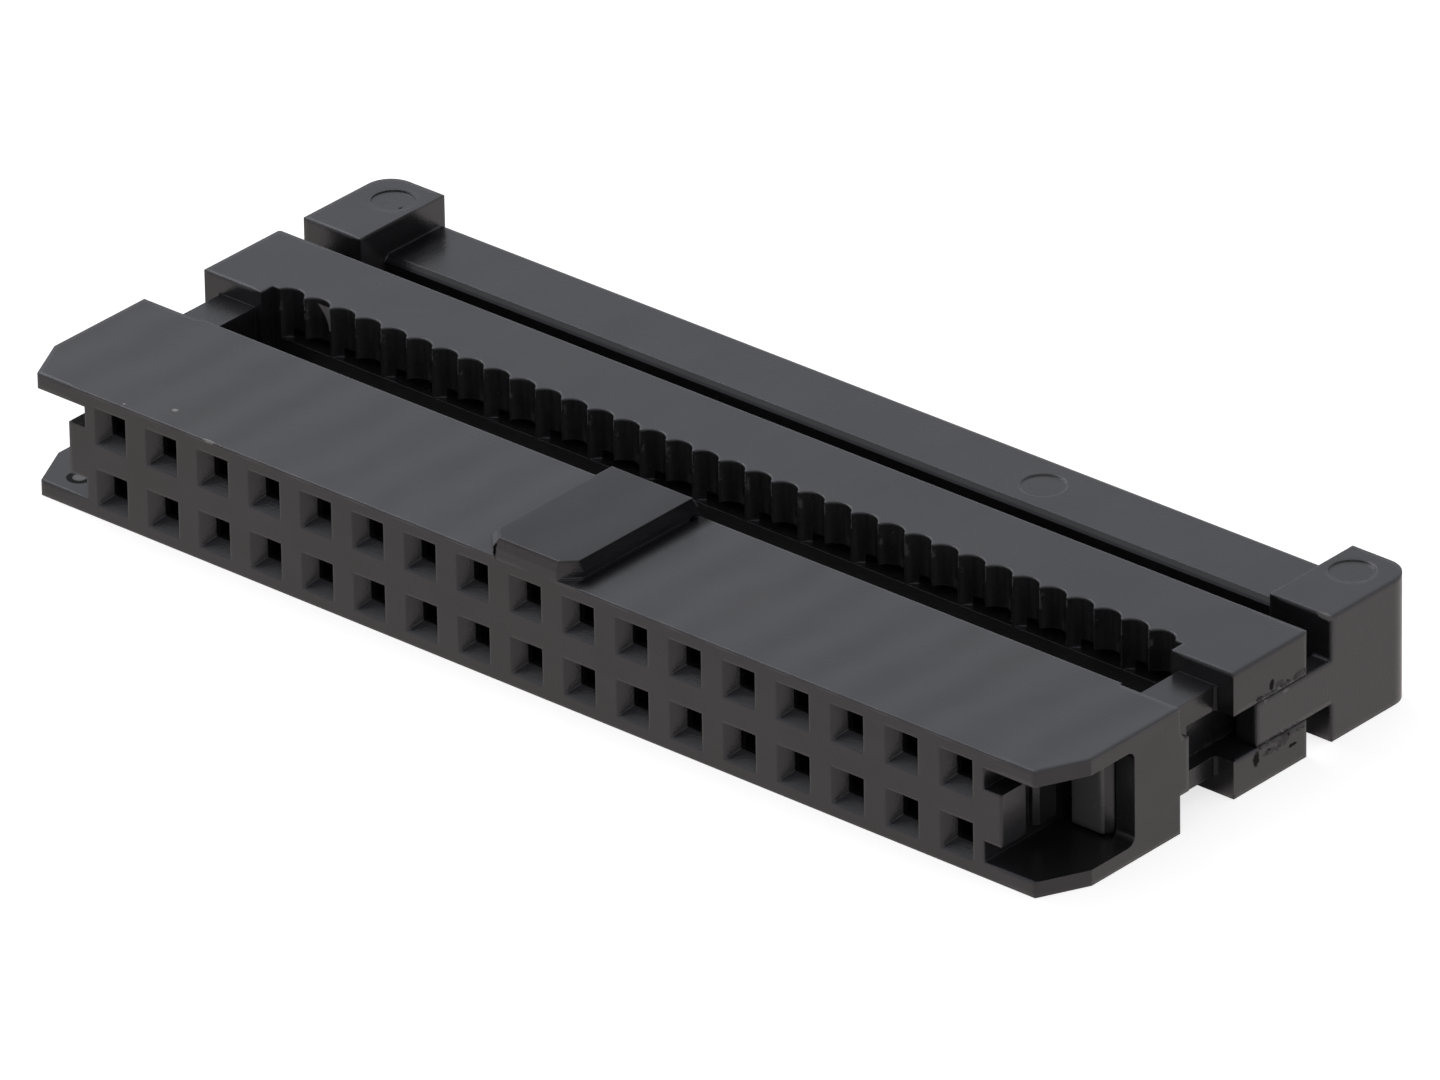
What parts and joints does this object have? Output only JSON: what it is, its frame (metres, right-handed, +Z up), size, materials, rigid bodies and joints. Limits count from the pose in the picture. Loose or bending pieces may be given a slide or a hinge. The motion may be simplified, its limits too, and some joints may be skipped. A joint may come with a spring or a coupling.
{
  "type": "insulation displacement connector",
  "caption": "Flat ribbon cable connector with two rows of square sockets, a polarising key, a grooved press-on cover and a strain relief, shown open",
  "frame": {"origin": "centre of the mating face, on the web between the two rows of sockets", "axes": "+X along the rows, +Y from the mating face towards the cable end, +Z up through the thickness, on the side of the polarising key"},
  "size_m": [0.0392, 0.0159, 0.0045],
  "materials": {
    "housing_plastic": "fine moulded texture",
    "cover_plastic": "fine moulded texture",
    "strain_relief_plastic": "fine moulded texture",
    "contact_metal": "plated phosphor bronze"
  },
  "bodies": {
    "housing_body": {"housing": "housing_plastic", "contact_01": "contact_metal", "contact_02": "contact_metal", "contact_03": "contact_metal", "contact_04": "contact_metal", "contact_05": "contact_metal", "contact_06": "contact_metal", "contact_07": "contact_metal", "contact_08": "contact_metal", "contact_09": "contact_metal", "contact_10": "contact_metal", "contact_11": "contact_metal", "contact_12": "contact_metal", "contact_13": "contact_metal", "contact_14": "contact_metal", "contact_15": "contact_metal", "contact_16": "contact_metal", "contact_17": "contact_metal", "contact_18": "contact_metal", "contact_19": "contact_metal", "contact_20": "contact_metal", "contact_21": "contact_metal", "contact_22": "contact_metal", "contact_23": "contact_metal", "contact_24": "contact_metal", "contact_25": "contact_metal", "contact_26": "contact_metal", "contact_27": "contact_metal", "contact_28": "contact_metal", "contact_29": "contact_metal", "contact_30": "contact_metal", "contact_31": "contact_metal", "contact_32": "contact_metal", "contact_33": "contact_metal", "contact_34": "contact_metal"},
    "cover_body": {"cover": "cover_plastic"},
    "strain_relief_body": {"strain_relief": "strain_relief_plastic"}
  },
  "joints": [
    {"name": "cover_press", "type": "slide", "parent": "housing_body", "child": "cover_body", "axis": [0, -1, 0], "range_m": [0, 0.00205]},
    {"name": "strain_relief_press", "type": "slide", "parent": "cover_body", "child": "strain_relief_body", "axis": [0, -1, 0], "range_m": [0, 0.00075]}
  ]
}
